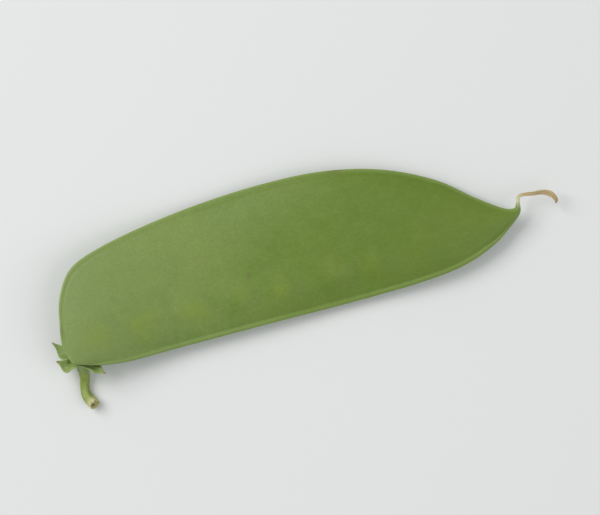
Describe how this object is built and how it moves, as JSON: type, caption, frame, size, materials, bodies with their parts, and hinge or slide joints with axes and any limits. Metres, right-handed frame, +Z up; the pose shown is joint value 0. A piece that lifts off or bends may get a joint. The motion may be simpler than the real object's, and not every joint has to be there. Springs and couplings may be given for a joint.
{
  "type": "snow pea pod",
  "caption": "Flat young pea pod as picked, lying on one valve, with its stalk, its calyx of pointed sepals and the dried style at its tip.",
  "frame": {"origin": "on the surface that the pod lies on, under the middle of its outer box", "axes": "+X along the pod from the stem end to the tip, +Y from the ventral to the dorsal suture, +Z up"},
  "size_m": [0.1068, 0.0334, 0.008],
  "materials": {
    "pod_skin": "fresh green plant skin, satin, with a faint bloom",
    "calyx_leaf": "thin green leaf, matt, tips dried brown",
    "stalk_skin": "green stem skin, satin, with a pale torn end",
    "dried_style": "dry, papery, tan"
  },
  "bodies": {
    "root": {"pod": "pod_skin", "calyx": "calyx_leaf", "stalk": "stalk_skin", "style": "dried_style"}
  },
  "joints": []
}
